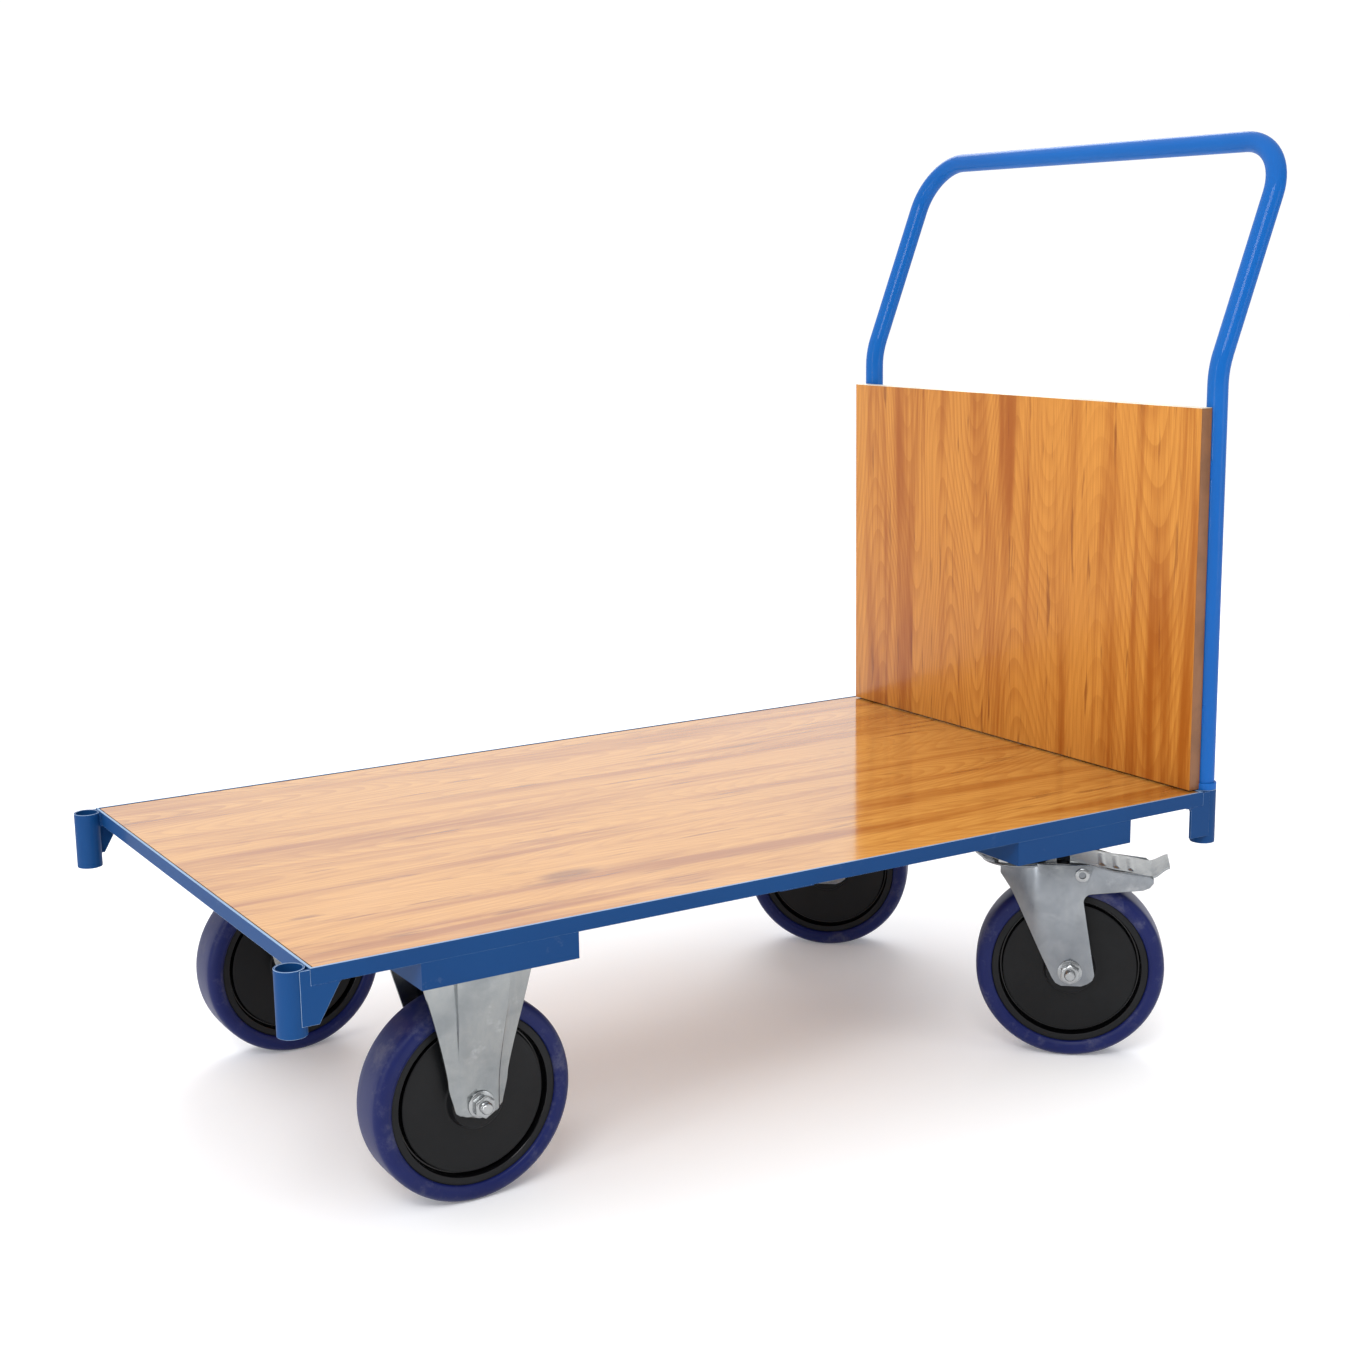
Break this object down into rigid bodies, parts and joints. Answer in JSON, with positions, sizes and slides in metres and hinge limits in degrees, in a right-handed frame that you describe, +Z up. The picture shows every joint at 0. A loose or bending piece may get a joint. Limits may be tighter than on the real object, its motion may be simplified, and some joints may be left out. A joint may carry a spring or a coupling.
{
  "type": "flatbed platform truck",
  "caption": "Platform truck with an inset laminate deck in a steel frame, a lift-out bent push bar with a back board, fixed front casters and braked rear swivel casters.",
  "frame": {"origin": "on the floor, under the middle of the whole truck's box as it stands with its rear casters turned, so the frame's own middle plane is at y = +18.8 mm", "axes": "+X along the length to the push bar end, +Y to the right side as seen by someone pushing, +Z up"},
  "size_m": [1.1684, 0.6646, 0.9789],
  "materials": {
    "frame_paint": "satin",
    "bar_paint": "gloss",
    "laminate": "gloss",
    "zinc": "satin",
    "tyre_blue": "satin",
    "rim_black": "satin",
    "steel_dark": "satin"
  },
  "bodies": {
    "chassis": {"left_side_rail": "frame_paint", "right_side_rail": "frame_paint", "front_rail": "frame_paint", "rear_rail": "frame_paint", "front_cross_channel": "frame_paint", "rear_cross_channel": "frame_paint", "deck_stiffener": "frame_paint", "deck_board": "laminate", "deck_screws": "zinc", "front_left_sleeve": "frame_paint", "front_right_sleeve": "frame_paint", "rear_left_sleeve": "frame_paint", "rear_right_sleeve": "frame_paint", "front_gussets": "frame_paint", "rear_gussets": "frame_paint", "caster_bolts": "zinc", "caster_nuts": "zinc", "front_left_fork": "zinc", "front_left_axle_bolt": "zinc", "front_left_axle_nut": "zinc", "front_left_spacer": "steel_dark", "front_right_fork": "zinc", "front_right_axle_bolt": "zinc", "front_right_axle_nut": "zinc", "front_right_spacer": "steel_dark", "rear_left_top_plate": "zinc", "rear_left_ball_race": "zinc", "rear_right_top_plate": "zinc", "rear_right_ball_race": "zinc"},
    "push_bar": {"push_bar_tube": "bar_paint", "back_board": "laminate", "stop_collars": "bar_paint", "board_tabs": "bar_paint", "tab_screws": "zinc"},
    "front_left_wheel": {"front_left_tyre": "tyre_blue", "front_left_rim": "rim_black", "front_left_bearing": "steel_dark"},
    "front_right_wheel": {"front_right_tyre": "tyre_blue", "front_right_rim": "rim_black", "front_right_bearing": "steel_dark"},
    "rear_left_wheel": {"rear_left_tyre": "tyre_blue", "rear_left_rim": "rim_black", "rear_left_bearing": "steel_dark"},
    "rear_right_wheel": {"rear_right_tyre": "tyre_blue", "rear_right_rim": "rim_black", "rear_right_bearing": "steel_dark"},
    "rear_left_swivel": {"rear_left_fork": "zinc", "rear_left_axle_bolt": "zinc", "rear_left_axle_nut": "zinc", "rear_left_spacer": "steel_dark", "rear_left_pedal_pin": "zinc"},
    "rear_left_brake_pedal": {"rear_left_pedal": "zinc"},
    "rear_right_swivel": {"rear_right_fork": "zinc", "rear_right_axle_bolt": "zinc", "rear_right_axle_nut": "zinc", "rear_right_spacer": "steel_dark", "rear_right_pedal_pin": "zinc"},
    "rear_right_brake_pedal": {"rear_right_pedal": "zinc"}
  },
  "joints": [
    {"name": "push_bar_lift", "type": "slide", "parent": "chassis", "child": "push_bar", "axis": [0, 0, 1], "range_m": [0, 0.08]},
    {"name": "front_left_wheel_spin", "type": "hinge", "parent": "chassis", "child": "front_left_wheel", "pos_m": [-0.38021, -0.20566, 0.1], "axis": [0, 1, 0], "continuous": true},
    {"name": "front_right_wheel_spin", "type": "hinge", "parent": "chassis", "child": "front_right_wheel", "pos_m": [-0.38021, 0.24334, 0.1], "axis": [0, 1, 0], "continuous": true},
    {"name": "rear_left_swivel_turn", "type": "hinge", "parent": "chassis", "child": "rear_left_swivel", "pos_m": [0.28479, -0.20566, 0.24], "axis": [0, 0, 1], "continuous": true},
    {"name": "rear_left_wheel_spin", "type": "hinge", "parent": "rear_left_swivel", "child": "rear_left_wheel", "pos_m": [0.32706, -0.2424, 0.1], "axis": [0.6561, 0.7547, 0], "continuous": true},
    {"name": "rear_left_brake_press", "type": "hinge", "parent": "rear_left_swivel", "child": "rear_left_brake_pedal", "pos_m": [0.33536, -0.24962, 0.2085], "axis": [0.6561, 0.7547, 0], "range_deg": [0, 8]},
    {"name": "rear_right_swivel_turn", "type": "hinge", "parent": "chassis", "child": "rear_right_swivel", "pos_m": [0.28479, 0.24334, 0.24], "axis": [0, 0, 1], "continuous": true},
    {"name": "rear_right_wheel_spin", "type": "hinge", "parent": "rear_right_swivel", "child": "rear_right_wheel", "pos_m": [0.32706, 0.2066, 0.1], "axis": [0.6561, 0.7547, 0], "continuous": true},
    {"name": "rear_right_brake_press", "type": "hinge", "parent": "rear_right_swivel", "child": "rear_right_brake_pedal", "pos_m": [0.33536, 0.19938, 0.2085], "axis": [0.6561, 0.7547, 0], "range_deg": [0, 8]}
  ]
}
